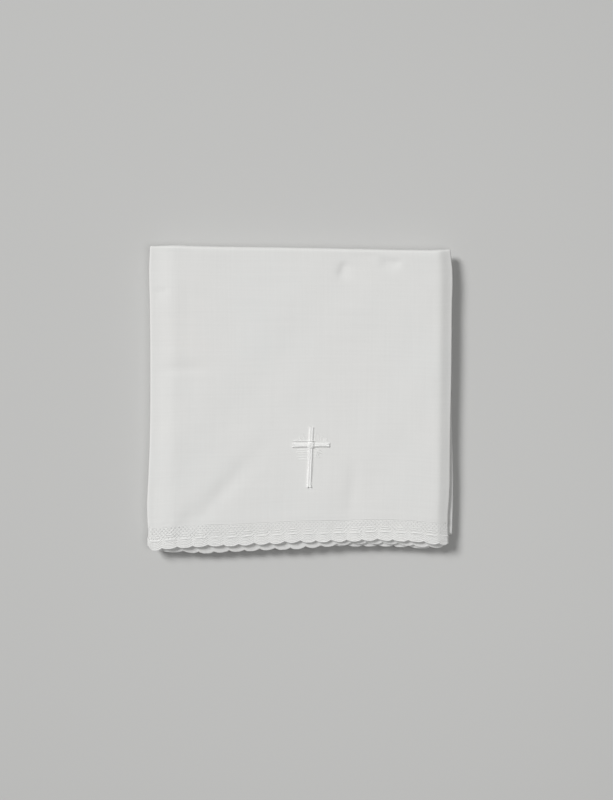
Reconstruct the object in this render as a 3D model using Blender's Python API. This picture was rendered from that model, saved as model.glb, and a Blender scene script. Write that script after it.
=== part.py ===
# A corporal: a square linen altar cloth with a scalloped lace edging and a raised white cross,
# ironed in thirds both ways and lying folded in nine. Metres, +Z up. +X is to the right and +Y
# away from the hem that shows, as seen from above with that hem nearest.

import math

import bmesh
import bpy
import numpy as np

OBJECT_NAME = "corporal"

# The sheet
LAYER = 0.001  # thickness of one layer
LAYER_GAP = 0.00015  # air between two layers of a row
PITCH = LAYER + LAYER_GAP
ROW_GAP = 0.0002  # more air between two rows

# The three columns, 0 in the middle of the folded cloth
HALF_WIDTH = 0.0764  # outside of a side fold
SIDE_TURN = PITCH / 2  # radius of a side fold, in the middle of the layer
SIDE_TURN_X = HALF_WIDTH - SIDE_TURN - LAYER / 2
SIDE_TURN_LENGTH = math.pi * SIDE_TURN
LEFT_THIRD_END = 0.0668  # free edge of the lowest layer, short of the right fold
RIGHT_THIRD_END = -0.0707  # free edge of the middle layer, short of the left fold
EDGE_CLEARANCE = 0.0005  # from a free edge to the slope of the layers over it
RIGHT_SLOPE = 0.0045  # width of that slope at the right
COLUMN_LENGTHS = {
    "left third": LEFT_THIRD_END + SIDE_TURN_X,
    "centre": 2 * SIDE_TURN_X,
    "right third": SIDE_TURN_X - RIGHT_THIRD_END,
}

# The three rows, from the hem that shows, under the top fold, back, and under the lower fold
ROW_LENGTHS = {1: 0.1482, 2: 0.1383, 3: 0.1396}
FULL_STACK = 3 * PITCH
ROW_TURN_LENGTH = math.pi * (FULL_STACK + ROW_GAP) / 2

# The lace and its scallops
LACE_WIDTH = 0.0115
SEAM_GAP = 0.0003
SCALLOP_PITCH = 0.00776
SCALLOP_DEPTH = 0.00115
FIRST_VALLEY = 0.0031  # along the hem, from the left third's free edge
CORNER_CUT = 0.0012

# How finely the sheet is divided
COLUMN_STEP = 0.0145
ROW_STEPS = {1: 11, 2: 9, 3: 9}
TURN_STEPS = 6
SCALLOP_STEPS = 4
NEAREST_STATION = 0.0036  # stations of the plain cloth keep this far from those of its folds
NEAREST_SCALLOP_STATION = 0.00065

# Lines that the folds and hems follow, seen from above: x and y
TOP_FOLD = {
    "x": (-0.0764, -0.0630, 0.0000, 0.0600, 0.0764),
    "y": (0.0779, 0.0786, 0.0772, 0.0759, 0.0763),
}
LOWER_FOLD = {"x": (-0.0764, 0.0764), "y": (-0.0676, -0.0684)}
BACK_HEM = {"x": (-0.0764, 0.0764), "y": (0.0752, 0.0740)}

# Tips of the front hem's scallops, along each column
FRONT_HEM = (
    {"column": "left third", "x": 0.0668, "y": -0.0768},
    {"column": "left third", "x": 0.0300, "y": -0.0755},
    {"column": "left third", "x": -0.0740, "y": -0.0762},
    {"column": "centre", "x": -0.0610, "y": -0.0757},
    {"column": "centre", "x": 0.0000, "y": -0.0725},
    {"column": "centre", "x": 0.0440, "y": -0.0717},
    {"column": "centre", "x": 0.0750, "y": -0.0737},
    {"column": "right third", "x": 0.0530, "y": -0.0739},
    {"column": "right third", "x": 0.0000, "y": -0.0765},
    {"column": "right third", "x": -0.0400, "y": -0.0786},
    {"column": "right third", "x": -0.0707, "y": -0.0778},
)

# Where the side folds lie, along each row
SIDE_FOLDS = (
    {"row": 1, "along": 0.00, "left": -0.0775, "right": 0.0746},
    {"row": 1, "along": 0.18, "left": -0.0776, "right": 0.0746},
    {"row": 1, "along": 0.60, "left": -0.0761, "right": 0.0763},
    {"row": 1, "along": 1.00, "left": -0.0765, "right": 0.0768},
    {"row": 2, "along": 0.50, "left": -0.0761, "right": 0.0768},
    {"row": 2, "along": 1.00, "left": -0.0762, "right": 0.0776},
    {"row": 3, "along": 0.50, "left": -0.0760, "right": 0.0772},
    {"row": 3, "along": 1.00, "left": -0.0763, "right": 0.0766},
)

# Soft hollows and swells of the whole stack: part of the height taken off at the middle
SOFT_FORMS = (
    {"x": -0.0430, "y": -0.0470, "length": 0.034, "width": 0.012, "turn": 45, "depth": 0.035},
    {"x": 0.0240, "y": -0.0530, "length": 0.026, "width": 0.010, "turn": 80, "depth": 0.025},
    {"x": -0.0620, "y": 0.0140, "length": 0.016, "width": 0.010, "turn": 0, "depth": 0.030},
    {"x": 0.0300, "y": 0.0480, "length": 0.040, "width": 0.020, "turn": 10, "depth": -0.020},
)

# The cross: its crossing, and its arms with their lengths either way from there
CROSS_X = 0.0053
CROSS_Y = -0.0230
CROSS_LIFT = 0.0003
CROSS_HEIGHT = 0.0009
CROSS_ARMS = (
    {"name": "upright", "forward": 0.0093, "back": 0.0214, "width": 0.0019, "turn": 89.0},
    {"name": "crossbar", "forward": 0.0097, "back": 0.0096, "width": 0.0022, "turn": 2.0},
)
CROSS_FLARE = 1.3  # width of an arm's end, against its middle
CROSS_EDGE = 0.00025  # rounding of its edges
WELD = 0.000001
BOSS_WIDTH = 0.0036
BOSS_HEIGHT = 0.0012

LINEN = {"name": "white linen", "colour": (0.67, 0.67, 0.65), "roughness": 0.85}
LACE = {"name": "white cotton lace", "colour": (0.70, 0.70, 0.68), "roughness": 0.8}
SATIN = {"name": "white satin stitch", "colour": (0.74, 0.74, 0.72), "roughness": 0.55}


# Where a place in a column or row lies along the flat cloth


def along_width(column, x):
    """Distance along the flat cloth from the left third's free edge."""
    if column == "left third":
        return LEFT_THIRD_END - x
    start = COLUMN_LENGTHS["left third"] + SIDE_TURN_LENGTH
    if column == "centre":
        return start + SIDE_TURN_X + x
    return start + COLUMN_LENGTHS["centre"] + SIDE_TURN_LENGTH + SIDE_TURN_X - x


def along_length(row, part):
    """Distance along the flat cloth from the front hem."""
    before = sum(ROW_LENGTHS[i] + ROW_TURN_LENGTH for i in range(1, row))
    return before + part * ROW_LENGTHS[row]


FLAT_WIDTH = along_width("right third", RIGHT_THIRD_END)
FLAT_LENGTH = along_length(3, 1)


# The fold


def raised(x):
    """1 where all three layers of a row lie on each other, 0 beside the side folds."""
    ends = (
        -SIDE_TURN_X,
        RIGHT_THIRD_END - EDGE_CLEARANCE,
        LEFT_THIRD_END + EDGE_CLEARANCE,
        LEFT_THIRD_END + EDGE_CLEARANCE + RIGHT_SLOPE,
    )
    return float(np.interp(x, ends, (0, 1, 1, 0)))


def fold_across(u, w):
    """Folds the outer thirds under: x, and the height above the row's lowest face."""
    low = LAYER / 2
    if u <= COLUMN_LENGTHS["left third"]:
        return LEFT_THIRD_END - u, low - w
    u -= COLUMN_LENGTHS["left third"]
    if u < SIDE_TURN_LENGTH:
        angle = u / SIDE_TURN
        reach = SIDE_TURN + w
        return -SIDE_TURN_X - reach * math.sin(angle), low + SIDE_TURN - reach * math.cos(angle)
    u -= SIDE_TURN_LENGTH
    if u <= COLUMN_LENGTHS["centre"]:
        x = u - SIDE_TURN_X
        return x, low + PITCH * (1 + raised(x)) + w
    u -= COLUMN_LENGTHS["centre"]
    if u < SIDE_TURN_LENGTH:
        angle = u / SIDE_TURN
        reach = SIDE_TURN + w
        return SIDE_TURN_X + reach * math.sin(angle), low + SIDE_TURN + reach * math.cos(angle)
    x = SIDE_TURN_X - (u - SIDE_TURN_LENGTH)
    return x, low + PITCH * raised(x) - w


def on_line(line, x):
    return float(np.interp(x, line["x"], line["y"]))


def front_hem_y(u):
    stations = [along_width(row["column"], row["x"]) for row in FRONT_HEM]
    return float(np.interp(u, stations, [row["y"] for row in FRONT_HEM]))


def side_fold_x(side, v):
    stations = [along_length(row["row"], row["along"]) for row in SIDE_FOLDS]
    return float(np.interp(v, stations, [row[side] for row in SIDE_FOLDS]))


def fold_along(u, v, x, height):
    """Folds the three rows to and fro under each other: y and z."""
    top_y = on_line(TOP_FOLD, x) - FULL_STACK - ROW_GAP / 2
    low_y = on_line(LOWER_FOLD, x) + FULL_STACK + ROW_GAP / 2
    if v <= ROW_LENGTHS[1]:
        hem_y = front_hem_y(u)
        y = hem_y + (top_y - hem_y) * v / ROW_LENGTHS[1]
        return y, 2 * FULL_STACK + 2 * ROW_GAP + height
    v -= ROW_LENGTHS[1]
    if v < ROW_TURN_LENGTH:
        angle = math.pi * v / ROW_TURN_LENGTH
        reach = height + ROW_GAP / 2
        middle = 2 * FULL_STACK + 1.5 * ROW_GAP
        return top_y + reach * math.sin(angle), middle + reach * math.cos(angle)
    v -= ROW_TURN_LENGTH
    if v <= ROW_LENGTHS[2]:
        y = top_y + (low_y - top_y) * v / ROW_LENGTHS[2]
        return y, 2 * FULL_STACK + ROW_GAP - height
    v -= ROW_LENGTHS[2]
    if v < ROW_TURN_LENGTH:
        angle = math.pi * v / ROW_TURN_LENGTH
        reach = FULL_STACK - height + ROW_GAP / 2
        middle = FULL_STACK + ROW_GAP / 2
        return low_y - reach * math.sin(angle), middle + reach * math.cos(angle)
    v -= ROW_TURN_LENGTH
    y = low_y + (on_line(BACK_HEM, x) - low_y) * v / ROW_LENGTHS[3]
    return y, height


def height_left(x, y):
    """Part of the stack's height that the soft hollows leave at a place."""
    left = 1.0
    for form in SOFT_FORMS:
        turn = math.radians(form["turn"])
        along = (x - form["x"]) * math.cos(turn) + (y - form["y"]) * math.sin(turn)
        aside = (y - form["y"]) * math.cos(turn) - (x - form["x"]) * math.sin(turn)
        far = (along / form["length"]) ** 2 + (aside / form["width"]) ** 2
        left -= form["depth"] * math.exp(-far)
    return left


def fold(u, v, w):
    """Where a point of the flat cloth comes to lie: u across, v from the front hem, w through it."""
    x, height = fold_across(u, w)
    y, z = fold_along(u, v, x, height)
    left = side_fold_x("left", v)
    right = side_fold_x("right", v)
    x = left + (right - left) * (x + HALF_WIDTH) / (2 * HALF_WIDTH)
    return x, y, z * height_left(x, y)


# Places where the flat cloth is divided


def turn_stations(start, length):
    return [start + length * i / TURN_STEPS for i in range(TURN_STEPS + 1)]


def width_turns():
    """Stations of the two side folds and of the slopes beside them."""
    slope_start = LEFT_THIRD_END + EDGE_CLEARANCE
    left_start = COLUMN_LENGTHS["left third"]
    right_start = along_width("centre", SIDE_TURN_X)
    return (
        turn_stations(left_start, SIDE_TURN_LENGTH)
        + [along_width("centre", RIGHT_THIRD_END - EDGE_CLEARANCE)]
        + [along_width("centre", slope_start), along_width("centre", slope_start + RIGHT_SLOPE)]
        + turn_stations(right_start, SIDE_TURN_LENGTH)
        + [along_width("right third", slope_start + RIGHT_SLOPE)]
        + [along_width("right third", slope_start)]
    )


def length_turns():
    return turn_stations(along_length(1, 1), ROW_TURN_LENGTH) + turn_stations(
        along_length(2, 1), ROW_TURN_LENGTH
    )


def merged(fixed, others, apart):
    """The fixed stations, and those of the others that are at least this far from them."""
    kept = [s for s in others if min(abs(s - f) for f in fixed) >= apart]
    return sorted(set(fixed + kept))


def inside_turns(station, turns):
    """Whether a station falls within one of the folds, where only the fold's own ones are used."""
    return any(start < station < end for start, end in turns)


def cloth_stations():
    edge = LACE_WIDTH + SEAM_GAP
    ends = [edge, FLAT_WIDTH - edge]
    steps = int(SIDE_TURN_X / COLUMN_STEP)
    across = [
        along_width(column, i * COLUMN_STEP)
        for column in COLUMN_LENGTHS
        for i in range(-steps, steps + 1)
    ]
    across = [u for u in across if edge < u < FLAT_WIDTH - edge]
    us = merged(ends + width_turns(), across, NEAREST_STATION)
    along = [
        along_length(row, i / steps) for row, steps in ROW_STEPS.items() for i in range(steps + 1)
    ]
    along = [v for v in along if edge < v < FLAT_LENGTH - edge]
    vs = merged([edge, FLAT_LENGTH - edge] + length_turns(), along, NEAREST_STATION)
    return us, vs


def lace_stations():
    quarter = SCALLOP_PITCH / SCALLOP_STEPS
    side_turns = (
        (COLUMN_LENGTHS["left third"], along_width("centre", -SIDE_TURN_X)),
        (along_width("centre", SIDE_TURN_X), along_width("right third", SIDE_TURN_X)),
    )
    row_turns = (
        (along_length(1, 1), along_length(2, 0)),
        (along_length(2, 1), along_length(3, 0)),
    )
    lists = []
    for total, first, fixed, turns in (
        (FLAT_WIDTH, FIRST_VALLEY, width_turns(), side_turns),
        (FLAT_LENGTH, 0.0, length_turns(), row_turns),
    ):
        fixed = fixed + [0.0, LACE_WIDTH, total - LACE_WIDTH, total]
        start = first - SCALLOP_PITCH
        quarters = [start + quarter * i for i in range(int((total - start) / quarter) + 1)]
        quarters = [
            s
            for s in quarters
            if LACE_WIDTH < s < total - LACE_WIDTH and not inside_turns(s, turns)
        ]
        lists.append(merged(fixed, quarters, NEAREST_SCALLOP_STATION))
    return lists


def notch(along, first):
    """How far a scalloped edge lies inside its tips: half ellipses side by side."""
    part = ((along - first) / SCALLOP_PITCH) % 1.0
    return SCALLOP_DEPTH * (1 - math.sqrt(max(0.0, 1 - (2 * part - 1) ** 2)))


# Building


def material(look):
    made = bpy.data.materials.new(look["name"])
    made.use_nodes = True
    shader = made.node_tree.nodes["Principled BSDF"]
    shader.inputs["Base Color"].default_value = (*look["colour"], 1.0)
    shader.inputs["Roughness"].default_value = look["roughness"]
    shader.inputs["Metallic"].default_value = 0.0
    return made


def add_object(name, bm, look, collection):
    bmesh.ops.recalc_face_normals(bm, faces=bm.faces)
    mesh = bpy.data.meshes.new(name)
    bm.to_mesh(mesh)
    bm.free()
    mesh.materials.append(material(look))
    obj = bpy.data.objects.new(name, mesh)
    collection.objects.link(obj)
    return obj


def flat_slab(us, vs, keep):
    """A flat grid with a cell between each two stations, made one layer thick.

    Its points are counted in stations, (i, j), with z above 0 on the face of the cloth.
    """
    bm = bmesh.new()
    cells_u = len(us) - 1
    cells_v = len(vs) - 1
    bmesh.ops.create_grid(bm, x_segments=cells_u, y_segments=cells_v, size=0.5)
    for vert in bm.verts:
        vert.co.x = round((vert.co.x + 0.5) * cells_u)
        vert.co.y = round((vert.co.y + 0.5) * cells_v)
    dropped = []
    for face in bm.faces:
        middle = face.calc_center_median()
        if not keep(int(middle.x), int(middle.y)):
            dropped.append(face)
    bmesh.ops.delete(bm, geom=dropped, context="FACES")
    bmesh.ops.solidify(bm, geom=bm.faces, thickness=1.0)
    middle_z = sum(vert.co.z for vert in bm.verts) / len(bm.verts)
    for vert in bm.verts:
        vert.co.x = round(vert.co.x)
        vert.co.y = round(vert.co.y)
        vert.co.z = math.copysign(LAYER / 2, vert.co.z - middle_z)
    return bm


def linen_cloth(collection):
    us, vs = cloth_stations()
    bm = flat_slab(us, vs, lambda i, j: True)
    for vert in bm.verts:
        vert.co = fold(us[round(vert.co.x)], vs[round(vert.co.y)], vert.co.z)
    return add_object("linen_cloth", bm, LINEN, collection)


def lace_edging(collection):
    us, vs = lace_stations()
    last_u = len(us) - 1
    last_v = len(vs) - 1
    bm = flat_slab(us, vs, lambda i, j: i in (0, last_u - 1) or j in (0, last_v - 1))
    for vert in bm.verts:
        i = round(vert.co.x)
        j = round(vert.co.y)
        u = us[i]
        v = vs[j]
        at_side = i in (0, last_u)
        at_end = j in (0, last_v)
        if at_side and at_end:
            u += CORNER_CUT if i == 0 else -CORNER_CUT
            v += CORNER_CUT if j == 0 else -CORNER_CUT
        elif at_side:
            u += notch(v, 0.0) if i == 0 else -notch(v, 0.0)
        elif at_end:
            v += notch(u, FIRST_VALLEY) if j == 0 else -notch(u, FIRST_VALLEY)
        vert.co = fold(u, v, vert.co.z)
    return add_object("lace_edging", bm, LACE, collection)


def arm_outline(arm):
    """Half widths along a flared arm, from its back end to its front end."""
    waist = arm["width"] / 2
    flare = waist * CROSS_FLARE
    run = arm["width"]
    upper = (
        (-arm["back"], flare),
        (-arm["back"] + run, waist),
        (arm["forward"] - run, waist),
        (arm["forward"], flare),
    )
    return list(upper) + [(x, -y) for x, y in reversed(upper)]


def cross_arm(arm, collection):
    curve = bpy.data.curves.new(arm["name"], "CURVE")
    curve.dimensions = "2D"
    curve.fill_mode = "BOTH"
    curve.extrude = CROSS_HEIGHT / 2 - CROSS_EDGE
    curve.bevel_depth = CROSS_EDGE
    curve.bevel_resolution = 1
    points = arm_outline(arm)
    spline = curve.splines.new("POLY")
    spline.points.add(len(points) - 1)
    for point, (x, y) in zip(spline.points, points):
        point.co = (x, y, 0, 1)
    spline.use_cyclic_u = True
    outline = bpy.data.objects.new(arm["name"], curve)
    outline.rotation_euler.z = math.radians(arm["turn"])
    collection.objects.link(outline)
    bpy.context.view_layer.update()
    graph = bpy.context.evaluated_depsgraph_get()
    mesh = bpy.data.meshes.new_from_object(outline.evaluated_get(graph))
    mesh.transform(outline.matrix_world)
    bpy.data.objects.remove(outline)
    bm = bmesh.new()
    bm.from_mesh(mesh)
    bpy.data.meshes.remove(mesh)
    bmesh.ops.remove_doubles(bm, verts=bm.verts, dist=WELD)
    return bm


def join(obj, other):
    union = obj.modifiers.new("join " + other.name, "BOOLEAN")
    union.operation = "UNION"
    union.solver = "EXACT"
    union.object = other


def satin_cross(collection, cutters):
    """Two padded arms and a boss, just over the face of the top layer."""
    upright, crossbar = CROSS_ARMS
    cross = add_object("satin_cross", cross_arm(upright, cutters), SATIN, collection)
    bar = add_object(crossbar["name"], cross_arm(crossbar, cutters), SATIN, cutters)
    boss = bmesh.new()
    bmesh.ops.create_uvsphere(boss, u_segments=16, v_segments=8, radius=0.5)
    for vert in boss.verts:
        vert.co.x *= BOSS_WIDTH
        vert.co.y *= BOSS_WIDTH
        vert.co.z *= BOSS_HEIGHT
    knob = add_object("boss", boss, SATIN, cutters)
    cloth_top = 3 * FULL_STACK + 2 * ROW_GAP - LAYER_GAP
    place = (CROSS_X, CROSS_Y, cloth_top + CROSS_LIFT + BOSS_HEIGHT / 2)
    for obj in (cross, bar, knob):
        obj.location = place
    for helper in (bar, knob):
        helper.hide_render = True
        helper.display_type = "WIRE"
        join(cross, helper)
    return cross


def main():
    for obj in list(bpy.data.objects):
        bpy.data.objects.remove(obj)
    parts = bpy.data.collections.new(OBJECT_NAME)
    cutters = bpy.data.collections.new("joined shapes")
    for collection in (parts, cutters):
        bpy.context.scene.collection.children.link(collection)
    linen_cloth(parts)
    lace_edging(parts)
    satin_cross(parts, cutters)
    print(f"flat cloth {FLAT_WIDTH * 1000:.1f} x {FLAT_LENGTH * 1000:.1f} mm")


main()
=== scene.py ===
import math

import bpy
import numpy as np
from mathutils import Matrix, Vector


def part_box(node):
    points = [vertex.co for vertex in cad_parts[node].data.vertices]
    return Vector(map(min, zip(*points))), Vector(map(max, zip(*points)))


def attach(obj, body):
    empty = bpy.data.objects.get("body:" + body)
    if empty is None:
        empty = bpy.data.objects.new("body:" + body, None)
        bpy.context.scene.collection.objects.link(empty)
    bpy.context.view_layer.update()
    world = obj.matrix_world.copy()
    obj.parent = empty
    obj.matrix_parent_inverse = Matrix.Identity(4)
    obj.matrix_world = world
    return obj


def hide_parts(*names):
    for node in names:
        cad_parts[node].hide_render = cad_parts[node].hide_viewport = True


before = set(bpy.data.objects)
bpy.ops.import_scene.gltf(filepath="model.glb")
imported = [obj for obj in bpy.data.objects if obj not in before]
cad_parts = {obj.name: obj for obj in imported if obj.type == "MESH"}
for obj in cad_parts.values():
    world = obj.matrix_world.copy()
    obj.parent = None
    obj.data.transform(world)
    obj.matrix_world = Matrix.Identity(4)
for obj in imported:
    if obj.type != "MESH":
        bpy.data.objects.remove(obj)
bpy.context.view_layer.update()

# White linen corporal folded in nine, seen from straight above.
# Everything is drawn on the flat cloth first: u across it, v from the hem that shows, w through
# it. foldPoints then lays those places where the folded cloth has them.

mm = 0.001

# The fold itself. Its outline and free edges are those of the solids.
foldForm = {
    "halfWidth": 76.4 * mm,        # outside of a side fold
    "layerPitch": 1.15 * mm,       # from one layer to the next
    "lowestLayer": 0.43,           # height of the lowest layer's middle, in layers
    "rowGap": 0.2 * mm,
    "leftThirdEnd": 66.8 * mm,     # free edge of the lowest layer
    "rightThirdEnd": -70.7 * mm,   # free edge of the middle layer
    "edgeStep": 0.5 * mm,          # how soon the middle layer falls past the lowest one's edge
    "turnReach": 0.5 * mm,         # half a layer, outside the side fold's middle line
    "rowLengths": (148.2 * mm, 138.3 * mm, 139.6 * mm),
    "pressedFold": 0.62,           # depth of the top and lower folds, against a round one
    "leftShoulder": 13.0 * mm,     # slope of the top layer down to the left fold
    "rightShoulder": 5.8 * mm,
    "slopeBend": 0.35,             # part of the right slope in which it starts softly
    "edgeDrop": 0.42,              # how far a free edge sags towards the layer below it
    "edgeDropLength": 14.0 * mm,
    "hemPinch": 0.08,              # how much closer the layers lie at the front hem
    "pinchLength": 26.0 * mm,
    "pinchHeight": 0.3,            # height that they close on, in layers
    "hemDroop": 1.3 * mm,          # how far the front hem hangs, and from where
    "droopFrom": -64.0 * mm,
    "droopLength": 14.0 * mm,
    "droopLimit": 1.2,
    "droopShares": (2.3, 1.9, 0.7),    # of the lowest layer, the middle one and the top one
    "waviness": 0.07 * mm,
    "clothFace": 0.24 * mm,        # from the middle of a layer to its face
    "rightSag": 0.075,             # the stack is thinner past the left third's edge
    "rightSagFrom": 69.5 * mm,
    "curlLength": 9.0 * mm,        # how far in from the tips the lace curls at a side fold
}
# How the lace of the front hem draws in round each side fold
cornerCurls = (
    {"fold": "left", "rise": 2.4 * mm, "width": 1.4 * mm},
    {"fold": "right", "rise": 1.3 * mm, "width": 1.4 * mm},
)

# Lines that the folds and hems follow, seen from above, in mm
topFoldLine = ((-76.4, 79.7), (-70.0, 79.45), (-63.0, 79.2), (-48.0, 78.75), (-25.0, 78.35),
               (0.0, 78.0), (26.0, 77.5), (58.0, 76.9), (70.0, 77.0), (76.4, 78.1))
lowerFoldLine = ((-76.4, -67.6), (-20.0, -68.0), (55.0, -68.3), (76.4, -69.8))
backHemLine = ((-76.4, 75.2), (76.4, 74.0))

# Tips of the front hem's scallops along each column, in mm
frontHem = {
    "left": ((66.8, -77.0), (56.0, -75.7), (36.0, -75.2), (15.0, -75.1), (-30.0, -75.9),
             (-74.0, -76.8)),
    "centre": ((-73.0, -77.0), (-61.0, -75.7), (-29.0, -74.3), (2.0, -72.7), (20.0, -72.4),
               (44.0, -71.8), (61.0, -72.7), (68.0, -73.6), (75.0, -74.3)),
    "right": ((73.0, -75.8), (66.0, -75.6), (56.0, -74.6), (38.0, -73.6), (0.0, -76.3),
              (-26.0, -77.5), (-45.0, -78.6), (-70.7, -77.9)),
}

# Where the side folds lie in each row: part of its length, left fold and right fold in mm
sideFolds = {
    1: ((0.00, -77.9, 75.9), (0.02, -78.1, 75.9), (0.07, -77.6, 75.6), (0.10, -77.9, 75.5),
        (0.15, -78.1, 76.1), (0.20, -77.8, 76.5), (0.27, -77.2, 76.6), (0.40, -76.6, 76.8),
        (0.57, -76.4, 77.3), (0.80, -76.6, 77.6), (0.94, -77.0, 77.8), (1.00, -76.6, 76.9)),
    2: ((0.15, -76.6, 77.2), (0.50, -76.1, 77.4), (0.70, -76.3, 78.2), (0.86, -76.6, 78.5),
        (1.00, -76.6, 78.0)),
    3: ((0.15, -76.4, 77.8), (0.50, -76.0, 77.0), (1.00, -76.3, 76.4)),
}

# Soft hollows of the whole stack: the part of the height that each takes off at its middle
softForms = (
    {"x": -41.0, "y": -48.0, "length": 25.0, "width": 4.6, "turn": 48, "depth": 0.046},
    {"x": -58.5, "y": -62.0, "length": 8.0, "width": 3.6, "turn": 62, "depth": 0.028},
    {"x": 26.5, "y": -46.0, "length": 17.0, "width": 3.6, "turn": 85, "depth": 0.030},
    {"x": -57.0, "y": 20.0, "length": 60.0, "width": 5.0, "turn": 90, "depth": 0.012},
    {"x": 30.0, "y": 48.0, "length": 40.0, "width": 20.0, "turn": 10, "depth": -0.018},
    {"x": 0.0, "y": -4.0, "length": 60.0, "width": 9.0, "turn": 3, "depth": 0.008},
)

# Creases of the top layer. Going from one end to the other, the cloth falls steeply on the right
# hand and rises again more slowly on the left; bow is how far the middle bends to the left
topCreases = (
    {"from": (-76.0, 15.2), "to": (-42.0, 15.7), "bow": 0.6, "steep": 2.8, "slow": 3.0, "depth": 0.26},
    {"from": (-66.0, 56.2), "to": (-75.5, 55.6), "bow": 0.3, "steep": 1.3, "slow": 3.0, "depth": 0.24},
    {"from": (24.6, 71.8), "to": (20.2, 60.2), "bow": -1.2, "steep": 1.5, "slow": 4.5, "depth": 0.50},
    {"from": (52.6, 69.6), "to": (39.4, 72.1), "bow": 0.6, "steep": 1.3, "slow": 3.6, "depth": 0.58},
    {"from": (-68.6, -61.6), "to": (-68.4, -65.2), "bow": 0.0, "steep": 0.8, "slow": 1.4, "depth": 0.22},
)
creaseFade = (0.35, 0.6)    # where along it a crease has its full depth

# Slow unevenness of each layer: how fast each wave runs in x and y, and shifts with the layer
slowWaves = (
    {"x": 71, "y": 43, "shift": 1.0, "start": 0, "share": 1.0},
    {"x": -118, "y": 97, "shift": 2.1, "start": 1, "share": 0.7},
    {"x": 190, "y": -160, "shift": 1.3, "start": 2, "share": 0.5},
    {"x": 330, "y": 270, "shift": 0.7, "start": 0, "share": 0.35},
)
waveShift = {"layer": 1.7, "row": 2.9}


def smoothLine(points, at, column=1):
    # a smooth curve through a column of the points, read at each place
    xs, ys = np.array(points).T[[0, column]]
    slopes = np.gradient(ys, xs)
    at = np.clip(at, xs[0], xs[-1])
    i = np.clip(np.searchsorted(xs, at) - 1, 0, len(xs) - 2)
    span = xs[i + 1] - xs[i]
    t = (at - xs[i]) / span
    return (
        ys[i] * (1 + 2 * t) * (1 - t) ** 2
        + slopes[i] * span * t * (1 - t) ** 2
        + ys[i + 1] * t * t * (3 - 2 * t)
        + slopes[i + 1] * span * t * t * (t - 1)
    )


def easeStep(low, high, at):
    t = np.clip((at - low) / (high - low), 0, 1)
    return t * t * (3 - 2 * t)


def slopeDown(low, high, at):
    # starts softly and then runs straight down into the fold
    t = np.clip((at - low) / (high - low), 0, 1)
    bend = foldForm["slopeBend"]
    return np.where(t < bend, t * t / (2 * bend), t - bend / 2) / (1 - bend / 2)


pitch = foldForm["layerPitch"]
turnRadius = pitch / 2
turnX = foldForm["halfWidth"] - turnRadius - foldForm["turnReach"]
turnLength = math.pi * turnRadius
stackHeight = 3 * pitch
rowTurnLength = math.pi * (stackHeight + foldForm["rowGap"]) / 2
columnLengths = {
    "left": foldForm["leftThirdEnd"] + turnX,
    "centre": 2 * turnX,
    "right": turnX - foldForm["rightThirdEnd"],
}


def acrossAt(column, x):
    # distance across the flat cloth of a place in a column
    if column == "left":
        return foldForm["leftThirdEnd"] - x
    start = columnLengths["left"] + turnLength
    if column == "centre":
        return start + turnX + x
    return start + columnLengths["centre"] + turnLength + turnX - x


def alongAt(row, part):
    # distance along the flat cloth of a place in a row
    lengths = foldForm["rowLengths"]
    return sum(lengths[:row - 1]) + (row - 1) * rowTurnLength + part * lengths[row - 1]


flatWidth = acrossAt("right", foldForm["rightThirdEnd"])
flatLength = alongAt(3, 1)

hemPoints = [(acrossAt(column, x * mm), y * mm) for column in frontHem for x, y in frontHem[column]]
sidePoints = [(alongAt(row, part), left * mm, right * mm)
              for row in sideFolds for part, left, right in sideFolds[row]]


def inMetres(points):
    return [(x * mm, y * mm) for x, y in points]


def foldAcross(u, w):
    # folds the outer thirds under: x, the height above the row's lowest face, and the layer
    low = pitch * foldForm["lowestLayer"]
    x = np.zeros_like(u)
    height = np.zeros_like(u)
    layer = np.zeros(len(u), int)
    endLeft = columnLengths["left"]
    startCentre = endLeft + turnLength
    endCentre = startCentre + columnLengths["centre"]
    startRight = endCentre + turnLength

    at = u <= endLeft
    x[at] = foldForm["leftThirdEnd"] - u[at]
    height[at] = low - w[at]

    at = (u > endLeft) & (u < startCentre)
    angle = (u[at] - endLeft) / turnRadius
    x[at] = -turnX - (turnRadius + w[at]) * np.sin(angle)
    height[at] = low + turnRadius - (turnRadius + w[at]) * np.cos(angle)
    layer[at] = np.where(angle > math.pi / 2, 2, 0)

    at = (u >= startCentre) & (u <= endCentre)
    across = u[at] - startCentre - turnX
    up = easeStep(-turnX, -turnX + foldForm["leftShoulder"], across)
    down = slopeDown(turnX - foldForm["rightShoulder"], turnX, across)
    x[at] = across
    height[at] = low + pitch * (1 + up - down) + w[at]
    layer[at] = 2

    at = (u > endCentre) & (u < startRight)
    angle = (u[at] - endCentre) / turnRadius
    x[at] = turnX + (turnRadius + w[at]) * np.sin(angle)
    height[at] = low + turnRadius + (turnRadius + w[at]) * np.cos(angle)
    layer[at] = np.where(angle < math.pi / 2, 2, 1)

    at = u >= startRight
    across = turnX - (u[at] - startRight)
    overEdge = foldForm["leftThirdEnd"] + foldForm["edgeStep"]
    down = easeStep(overEdge, turnX, across)
    sag = 1 - easeStep(0, foldForm["edgeDropLength"], across - foldForm["rightThirdEnd"])
    x[at] = across
    height[at] = low + pitch * (1 - down - foldForm["edgeDrop"] * sag) - w[at]
    layer[at] = 1
    return x, height, layer


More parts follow.
